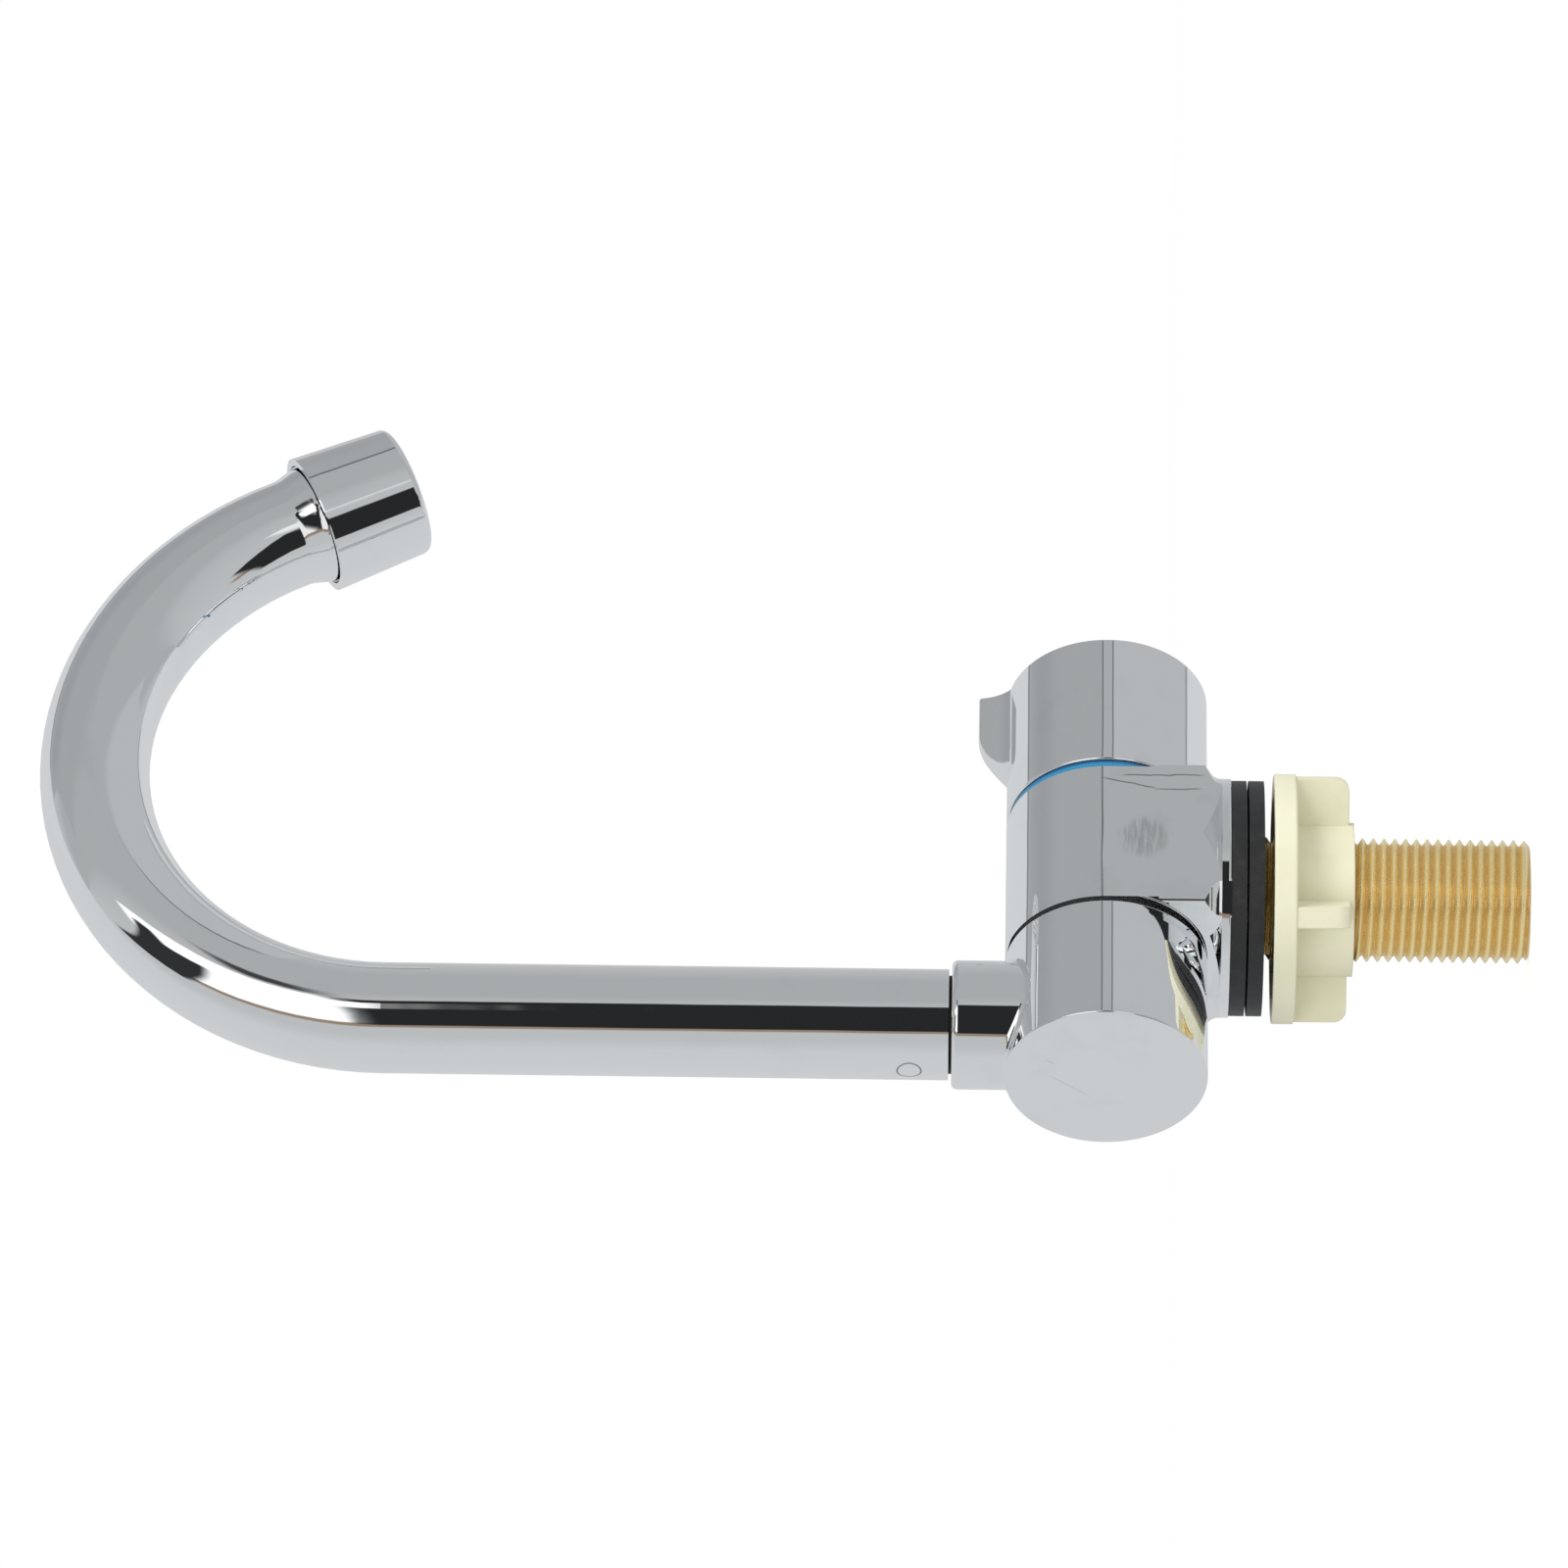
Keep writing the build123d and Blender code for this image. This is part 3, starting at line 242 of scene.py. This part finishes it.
def body_marks_and_reflections(graph):
    """Front of the body: a rubbed oval of streaks along the barrel, and two dark lines by the knob that
    are painted reflections of the casting's edges.
    """
    x, y, z = graph.axes()
    front = 1 - y.ramp(-16 * MM, -14 * MM)
    wobble = (graph.noise(3.5 * MM) - 0.5) * (1.5 * MM)
    middle = (-1.4 * MM, 17.4 * MM)
    reach = (5.0 * MM, 4.4 * MM)
    out_x = (x - middle[0] + wobble) / reach[0]
    out_z = (z - middle[1] + wobble) / reach[1]
    oval = 1 - (out_x * out_x + out_z * out_z).ramp(0.35, 1.15)
    streaks = graph.noise(0.9 * MM, detail=3, rough=0.7, scale=(0.12, 1, 1))
    dull = oval * streaks.ramp(0.34, 0.62) * front
    side, along = x + wobble * 0.5, z + wobble * 0.3
    # Painted reflections: start, end and width of each stroke; one line is straight, the other bends
    # towards it
    reflection_lines = (
        ((12.6 * MM, 6.5 * MM), (12.5 * MM, 21.5 * MM), 0.22 * MM),
        ((9.6 * MM, 7 * MM), (9.3 * MM, 16 * MM), 0.2 * MM),
        ((9.4 * MM, 14.5 * MM), (12.1 * MM, 25 * MM), 0.22 * MM),
    )
    lines = sum(stroke(side, along, *reflection_line) for reflection_line in reflection_lines)
    return lines * front * 0.75 + dull * 0.32, dull


def hub_marks(graph):
    """End face of the hub: two faint scratches."""
    x, y, z = graph.axes()
    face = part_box("spout_hub")[0].x
    end = 1 - x.ramp(face + 0.2 * MM, face + 0.5 * MM)
    scratches = (
        ((5.2 * MM, 25.6 * MM), (-0.6 * MM, 33.0 * MM), 0.12 * MM),
        ((-3.2 * MM, 31.6 * MM), (-4.6 * MM, 33.6 * MM), 0.16 * MM),
    )
    lines = sum(stroke(y, z, *scratch) for scratch in scratches) * end
    return lines * 0.3, lines * 0.5


def pin_ring(graph):
    """Dark seam round the flush pin: a ring at the pin's radius from its axis, on its side of the tube."""
    x, y, z = graph.axes()
    low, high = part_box("spout_pin")
    middle = (low + high) / 2
    pin_radius = (high.z - low.z) / 2
    spigot_low, spigot_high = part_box("spout_spigot")
    tube_x = (spigot_low.x + spigot_high.x) / 2
    away = Vector((middle.x - tube_x, middle.y)).normalized()
    beside = (x - tube_x) * away.y - y * away.x
    ahead = (x - tube_x) * away.x + y * away.y
    from_axis = graph.distance(beside, z - middle.z)
    seam = 1 - abs(from_axis - pin_radius).ramp(0.08 * MM, 0.2 * MM)
    return seam * ahead.ramp(0, 1 * MM) * 0.85, 0.0


# Finishes

def chrome(name, smudge, wave=1.0, marks=no_marks):
    """Bright chrome: faint smudges, fine rubbed scratches and a slight wave of the polished casting."""

    def paint(graph):
        smudges = graph.noise(9 * MM, detail=4, rough=0.6).ramp(0.52, 0.72)
        scratches = graph.noise(1.2 * MM, detail=3, rough=0.7, scale=(1, 1, 0.12)).ramp(0.66, 0.72)
        # Dark marks; on the body these include painted reflections of the casting's edges
        dark, dull = marks(graph)
        bright = graph.mix(smudges * smudge, CHROME, CHROME_SMUDGED)
        return {
            "Base Color": graph.mix(dark, bright, CHROME_MARK_AND_REFLECTION),
            "Roughness": 0.018 + smudges * (0.05 * smudge) + scratches * 0.025 + dull * 0.2,
            "Normal": graph.bump(graph.noise(14 * MM, detail=1, rough=0.4), 0.06 * MM * wave),
        }

    return make_finish(name, paint, Metallic=1.0)


def brass(name, colour, rough, grain=0.5, shine=1.0, painted_thread_shading=0.0):
    """Turned brass: tool marks round the shank's axis, tarnish in patches and fine pits.

    painted_thread_shading is how strongly the thread shows its painted light: painted shade down in its
    roots and a painted highlight on its crests.
    """

    def paint(graph):
        tarnish = graph.noise(3.5 * MM, detail=5, rough=0.65).ramp(0.45, 0.75)
        tool_marks = graph.noise(0.35 * MM, scale=(0.15, 0.15, 1.6))
        pits = graph.noise(0.3 * MM, rough=0.6).ramp(0.6, 0.7)
        tarnish_and_painted_light = graph.mix(tarnish * 0.3 + pits * 0.12, colour, tinted(colour, (0.88, 0.8, 0.62)))
        # Painted shade in the thread's roots and a painted highlight on its crests
        if painted_thread_shading:
            from_axis = graph.distance(*graph.axes()[:2])
            crest = from_axis.ramp(SHANK_RADIUS - THREAD_DEPTH, SHANK_RADIUS - 0.15 * THREAD_DEPTH)
            tarnish_and_painted_light = graph.mix((1 - crest) * painted_thread_shading, tarnish_and_painted_light, tinted(colour, (0.8, 0.7, 0.5)))
            tarnish_and_painted_light = graph.mix(crest.ramp(0.6, 1.0) * painted_thread_shading, tarnish_and_painted_light, BRASS_PAINTED_HIGHLIGHT)
        return {
            "Base Color": tarnish_and_painted_light,
            "Roughness": rough + tarnish * 0.1 + pits * 0.1,
            "Normal": graph.bump(tool_marks + pits * -0.6, 0.02 * MM * grain),
        }

    return make_finish(name, paint, Metallic=shine)


def rubber(name, colour, dusty):
    """Moulded rubber: pale dust in patches over a fine grain."""

    def paint(graph):
        dust = graph.noise(2.2 * MM, detail=5, rough=0.7).ramp(0.45, 0.75)
        return {
            "Base Color": graph.mix(dust, colour, dusty),
            "Roughness": 0.5 + dust * 0.2,
            "Normal": graph.bump(graph.noise(0.25 * MM), 0.02 * MM),
        }

    return make_finish(name, paint)


def moulded(name, colour, shade, glow=0.0, rounding=0.0):
    """Moulded plastic: slow tint changes, flow marks and a fine eroded grain.

    glow is the share of light that spreads inside it, and rounding the radius of its edges.
    """

    def paint(graph):
        edges = graph.node("ShaderNodeBevel", {"samples": 8}, {"Radius": rounding}) if rounding else None
        tint = graph.noise(11 * MM, detail=3, rough=0.6).ramp(0.35, 0.7)
        flow = graph.noise(2.0 * MM, detail=3, rough=0.6, scale=(1, 1, 0.35))
        grain = graph.noise(0.22 * MM)
        return {
            "Base Color": graph.mix(tint, colour, shade),
            "Roughness": 0.42 + flow * 0.16,
            "Normal": graph.bump(grain * 0.6 + flow * 0.8, 0.015 * MM, edges),
        }

    return make_finish(name, paint, Subsurface_Weight=glow, Subsurface_Scale=1.5 * MM)


def cold_blue():
    """Blue plastic of the cold ring with painted shade: brighter towards the body, darker under the knob's
    edge.
    """
    low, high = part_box("cold_ring")
    width = high.x - low.x

    def paint(graph):
        # Painted shade: darker towards the knob's edge
        shade = graph.axes()[0].ramp(low.x + 0.55 * width, high.x - 0.1 * width)
        fleck = graph.noise(0.8 * MM, detail=3, rough=0.6)
        return {
            "Base Color": graph.mix(shade, (0.017, 0.24, 0.46), (0.005, 0.07, 0.18)),
            "Roughness": 0.22 + fleck * 0.15,
            "Normal": graph.bump(fleck, 0.01 * MM),
        }

    return make_finish("cold_blue", paint, Coat_Weight=0.4)


def steel(name, colour, grain_size):
    """Steel with a fine drawn grain."""

    def paint(graph):
        grain = graph.noise(grain_size, detail=3, rough=0.6, scale=(1, 0.3, 1))
        return {
            "Base Color": graph.mix(grain.ramp(0.4, 0.7), colour, tinted(colour, (0.7, 0.7, 0.7))),
            "Roughness": 0.28 + grain * 0.2,
            "Normal": graph.bump(grain, 0.01 * MM),
        }

    return make_finish(name, paint, Metallic=1.0)


def ceramic():
    """Lapped white ceramic with a faint cloud."""

    def paint(graph):
        cloud = graph.noise(2.5 * MM, detail=4, rough=0.6)
        return {
            "Base Color": graph.mix(cloud.ramp(0.4, 0.7), (0.9, 0.89, 0.86), (0.82, 0.81, 0.78)),
            "Roughness": 0.16 + cloud * 0.1,
            "Normal": graph.bump(graph.noise(0.2 * MM), 0.003 * MM),
        }

    return make_finish("lapped_ceramic", paint)


def wear(material, *nodes):
    """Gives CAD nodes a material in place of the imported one."""
    for name in nodes:
        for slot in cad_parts[name].material_slots:
            slot.link = "OBJECT"
            slot.material = material


thread_brass = brass("thread_brass", BRASS_BRIGHT, rough=0.22, grain=0.12, shine=0.75, painted_thread_shading=0.7)
wear(chrome("body_chrome", smudge=0.9, wave=1.2, marks=body_marks_and_reflections), "tap_body")
wear(chrome("hub_chrome", smudge=0.5, marks=hub_marks), "spout_hub")
wear(chrome("knob_chrome", smudge=0.6), "knob")
wear(chrome("spout_chrome", smudge=0.4, marks=pin_ring), "spout_tube")
wear(chrome("sleeve_chrome", smudge=0.3, wave=0.5), "aerator_sleeve")
wear(chrome("pin_chrome", smudge=0.6, wave=0.4, marks=pin_ring), "spout_pin")
wear(
    brass("inner_brass", BRASS_INNER, rough=0.26),
    "cartridge_housing", "cartridge_spindle", "fold_pivot", "outlet_nipple",
)
# The spigot's dull brass carries painted shade for the gap between tube and collar
wear(brass("shaded_dull_brass", BRASS_PAINTED_SHADE, rough=0.6), "spout_spigot")
wear(rubber("washer_rubber", (0.017, 0.017, 0.018), (0.032, 0.032, 0.033)), "base_gasket", "clamp_washer")
wear(
    rubber("seal_rubber", (0.012, 0.012, 0.013), (0.03, 0.03, 0.03)),
    "cartridge_seal", "seat_seal", "spindle_seals", "fold_seals", "spigot_seals", "aerator_seal",
)
nut_plastic = moulded("nut_plastic", (0.82, 0.8, 0.6), (0.78, 0.76, 0.55), glow=0.12, rounding=0.45 * MM)
wear(nut_plastic, "lock_nut")
wear(moulded("bearing_plastic", (0.03, 0.03, 0.034), (0.045, 0.045, 0.05)), "fold_washer", "spout_bush")
wear(moulded("cage_plastic", (0.85, 0.85, 0.83), (0.78, 0.78, 0.77)), "aerator_cage")
wear(cold_blue(), "cold_ring")
wear(steel("screw_steel", (0.5, 0.5, 0.52), 0.4 * MM), "knob_screw", "hub_screw")
wear(steel("mesh_steel", (0.62, 0.62, 0.64), 0.3 * MM), "aerator_screen")
wear(ceramic(), "fixed_disc", "moving_disc")


# Meshes

def add_object(name, data):
    """Puts a mesh, a lamp or a camera in the scene."""
    item = bpy.data.objects.new(name, data)
    bpy.context.scene.collection.objects.link(item)
    return item


def surface(name, points, material, body):
    """A mesh from a grid of points (rows, columns, 3) that closes on itself both ways."""
    rows, columns = points.shape[:2]
    index = np.arange(rows * columns).reshape(rows, columns)
    below = np.roll(index, -1, 0)
    quads = np.stack([index, np.roll(index, -1, 1), np.roll(below, -1, 1), below], -1).reshape(-1, 4)
    mesh = bpy.data.meshes.new(name)
    mesh.from_pydata(points.reshape(-1, 3).tolist(), [], quads.tolist())
    mesh.polygons.foreach_set("use_smooth", np.ones(len(quads), bool))
    mesh.materials.append(material)
    piece = add_object(name, mesh)
    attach(piece, body)
    return piece


def threaded_shank():
    """The shank with its real thread.

    Going down the outside, the radius is the crest's less the thread's depth times a wave of the
    height and the angle: one wave per pitch, shifted by one pitch per turn. The wave is a triangle
    rounded at crest and root by a cosine. A cone cuts the thread at the free end. The same grid
    goes on over the end face, up the bore and back over the top.
    """
    turn = np.linspace(0, 2 * math.pi, STEPS_ROUND, endpoint=False)
    down = np.linspace(THREAD_TOP, SHANK_LOW, STEPS_DOWN)
    phase = down[:, None] / THREAD_PITCH + turn[None, :] / (2 * math.pi)
    triangle = 2 * np.abs(phase - np.floor(phase + 0.5))
    rounded = 0.5 - 0.5 * np.cos(math.pi * triangle)
    wave = THREAD_POINT * triangle + (1 - THREAD_POINT) * rounded
    fade = np.clip((THREAD_TOP - down) / (THREAD_RUNOUT * THREAD_PITCH), 0, 1)[:, None]
    cone = SHANK_RADIUS - SHANK_CHAMFER + (down - SHANK_LOW)[:, None]
    outside = np.minimum(SHANK_RADIUS - THREAD_DEPTH * wave * fade, cone)
    bore = np.array([
        (BORE_RADIUS + BORE_CHAMFER, SHANK_LOW),
        (BORE_RADIUS, SHANK_LOW + BORE_CHAMFER),
        (BORE_RADIUS, SHANK_HIGH - BORE_CHAMFER),
        (BORE_RADIUS + BORE_CHAMFER, SHANK_HIGH),
    ])
    ring = np.ones((1, STEPS_ROUND))
    radius = np.concatenate([SHANK_RADIUS * ring, outside, bore[:, :1] * ring])
    height = np.concatenate([[SHANK_HIGH], down, bore[:, 1]])[:, None] * ring
    points = np.stack([radius * np.cos(turn), radius * np.sin(turn), height], -1)
    shank = surface("threaded_shank", points, thread_brass, "tap")
    shank.data.set_sharp_from_angle(angle=SMOOTH_ANGLE)
    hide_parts("inlet_shank")


# Camera, world, lamps and floor

def photo_camera():
    """The photograph's camera: level with the tap, turned to the hub's side, with +Z to the left."""
    right = Vector((0, 0, -1))
    back = Vector((-math.sin(CAMERA_TURN), -math.cos(CAMERA_TURN), 0))
    up = back.cross(right)
    level = Matrix((right, up, back)).transposed()
    lean = Matrix.Rotation(CAMERA_TILT, 3, "Y") @ Matrix.Rotation(CAMERA_ROLL, 3, "Z")
    turn = level @ lean.transposed()
    distance = FOCAL_PIXELS / PIXELS_PER_MM
    place = turn @ Vector((*PHOTO_CENTRE, distance)) * MM + Vector((0, 0, FLANGE_UNDERSIDE))
    data = bpy.data.cameras.new("photo_camera")
    data.lens = data.sensor_width * FOCAL_PIXELS / PHOTO_PIXELS
    data.clip_start = 0.05
    camera = add_object("photo_camera", data)
    camera.matrix_world = Matrix.Translation(place) @ turn.to_4x4()
    bpy.context.scene.camera = camera


def studio():
    """The world that the metal shows: a pale tent of panels with dark gaps round the camera.

    A direction is read as two angles in degrees. round_tap is 0 at the camera, 90 square to it on
    the knob's side, -90 on the hub's side and 180 behind the tap. up is 90 overhead.
    """
    world = bpy.data.worlds.new("studio")
    bpy.context.scene.world = world
    graph = Graph(world)
    direction = graph.node("ShaderNodeTexCoord")
    x, y, z = graph.node("ShaderNodeSeparateXYZ", None, {0: direction}, output=("X", "Y", "Z"))
    cosine, sine = math.cos(CAMERA_TURN), math.sin(CAMERA_TURN)
    to_knob_side = x * cosine - y * sine
    to_camera = x * -sine - y * cosine
    round_tap = graph.maths("ARCTAN2", to_knob_side, to_camera) * math.degrees(1)
    up = graph.maths("ARCSINE", z) * math.degrees(1)

    def panel(low, high, bottom, top, soft=2.0, lift=4.0):
        """1 inside a window of the two angles, whose sides may lean with either of them.

        soft is how many degrees its edges take to fade round the tap, and lift upwards.
        """
        across = round_tap.ramp(low, low + soft) * (1 - round_tap.ramp(high - soft, high))
        return across * up.ramp(bottom, bottom + lift) * (1 - up.ramp(top - lift, top))

    # The tent's cloth, from behind the tap by the hub's side, the camera and the knob's side
    cloth = graph.node("ShaderNodeValToRGB", {"stops": [
        (0.0, (0.63, 0.65, 0.66)),
        (0.13, (0.62, 0.64, 0.65)),
        (0.33, (0.60, 0.62, 0.63)),
        (0.40, (0.52, 0.535, 0.54)),
        (0.55, (0.50, 0.515, 0.52)),
        (0.61, (0.47, 0.485, 0.49)),
        (0.64, (0.41, 0.425, 0.43)),
        (0.78, (0.41, 0.425, 0.43)),
        (0.84, (0.46, 0.475, 0.48)),
        (0.90, (0.50, 0.515, 0.52)),
        (1.0, (0.63, 0.65, 0.66)),
    ]}, {0: round_tap / 360 + 0.5})
    black = (0.02, 0.021, 0.022)
    sheet = (0.64, 0.66, 0.67)
    panels = (
        # Grey walls on the knob's side, over and under the camera's level, each with a dark edge
        (panel(66, 149, 4, 66, soft=8, lift=1), (0.375, 0.39, 0.395)),
        (panel(96, 149, 8, 66, soft=24, lift=8), (0.335, 0.35, 0.365)),
        (panel(72, 149, -66, -4, soft=6, lift=1), (0.475, 0.49, 0.5)),
        (panel(72, 96, 3.6, 5.2, soft=6, lift=0.5), (0.15, 0.155, 0.16)),
        (panel(72, 96, -5.2, -3.6, soft=6, lift=0.5), (0.17, 0.175, 0.18)),
        # Pale sheets behind the tap, each with a dark edge
        (panel(147, 180, 8, 90, lift=6), sheet),
        (panel(147, 180, -90, -8, lift=6), sheet),
        (panel(144, 149, 20, 60, soft=1.5), (0.27, 0.28, 0.285)),
        (panel(144, 149, -60, -8, soft=1.5), (0.32, 0.33, 0.34)),
        # A tall brown strip on the camera's hub side
        (panel(-20, -9, -60, 75, soft=3), (0.31, 0.23, 0.17)),
        # White panels over and under the camera
        (panel(-13, 36, 7, 58), (1.1, 1.1, 1.1)),
        (panel(-14, 26, -26, -4), (0.85, 0.86, 0.87)),
        # Dark gaps: under the lower panel, at the camera's level, over the upper panel and beside it
        (panel(up * 0.38 - 15, up * 0.5 + 27, -54, -23), black),
        (panel(-15, 38, -8, 10, lift=5), black),
        (panel(-26, 30, round_tap * -0.45 + 40, round_tap * -0.5 + 68), (0.03, 0.031, 0.033)),
        (panel(36, 49, 5, 22, soft=4, lift=6), (0.05, 0.052, 0.055)),
        # A narrow bright panel on the camera's knob side
        (panel(19, 32, 2, 46), (1.2, 1.2, 1.2)),
    )
    shown = cloth
    for mask, colour in panels:
        shown = graph.mix(mask, shown, colour)
    camera_ray, glossy_ray = graph.node("ShaderNodeLightPath", output=("Is Camera Ray", "Is Glossy Ray"))
    seen = graph.mix(glossy_ray, (0.58, 0.58, 0.59), shown)
    seen = graph.mix(camera_ray, seen, (1.0, 1.0, 1.0))
    background = graph.node("ShaderNodeBackground", None, {"Color": seen, "Strength": 1.0})
    graph.node("ShaderNodeOutputWorld", None, {"Surface": background})


def lamp(name, place, size, power):
    """A soft round lamp that shines at the tap and that neither the camera nor the metal shows."""
    data = bpy.data.lights.new(name, "AREA")
    data.shape = "DISK"
    data.size = size
    data.energy = power
    light = add_object(name, data)
    turn = (Vector(TAP_MIDDLE) - Vector(place)).to_track_quat("-Z", "Y")
    light.matrix_world = Matrix.Translation(place) @ turn.to_matrix().to_4x4()
    light.visible_glossy = False
    light.visible_camera = False


def floor():
    """A plain pale floor that the camera sees as white, with the tap's soft shadow.

    It is clear to reflections and from below.
    """
    level = SHANK_LOW - FLOOR_GAP
    corners = [(x, y, level) for x, y in (
        (-FLOOR_REACH, -FLOOR_REACH),
        (FLOOR_REACH, -FLOOR_REACH),
        (FLOOR_REACH, FLOOR_REACH),
        (-FLOOR_REACH, FLOOR_REACH),
    )]
    mesh = bpy.data.meshes.new("floor")
    mesh.from_pydata(corners, [], [(0, 1, 2, 3)])
    ground = add_object("floor", mesh)
    material = bpy.data.materials.new("pale_floor")
    graph = Graph(material)
    camera_ray, glossy_ray = graph.node("ShaderNodeLightPath", output=("Is Camera Ray", "Is Glossy Ray"))
    matt = graph.node("ShaderNodeBsdfDiffuse", None, {"Color": (0.88, 0.88, 0.88, 1)})
    white = {"Color": (1, 1, 1, 1), "Strength": camera_ray * FLOOR_GLOW}
    glow = graph.node("ShaderNodeEmission", None, white)
    lit = graph.node("ShaderNodeAddShader", None, {0: matt, 1: glow})
    clear = graph.node("ShaderNodeBsdfTransparent")
    from_below = graph.node("ShaderNodeNewGeometry", output="Backfacing")
    unseen = graph.maths("MAXIMUM", glossy_ray, from_below)
    both = graph.node("ShaderNodeMixShader", None, {0: unseen, 1: lit, 2: clear})
    graph.node("ShaderNodeOutputMaterial", None, {"Surface": both})
    mesh.materials.append(material)


photo_camera()
threaded_shank()
studio()
floor()
lamp("key_lamp", place=(0.45, -1.1, 0.75), size=0.7, power=9)
lamp("fill_lamp", place=(-0.9, -0.6, 0.5), size=0.9, power=4)
bpy.context.scene.view_settings.view_transform = "Standard"
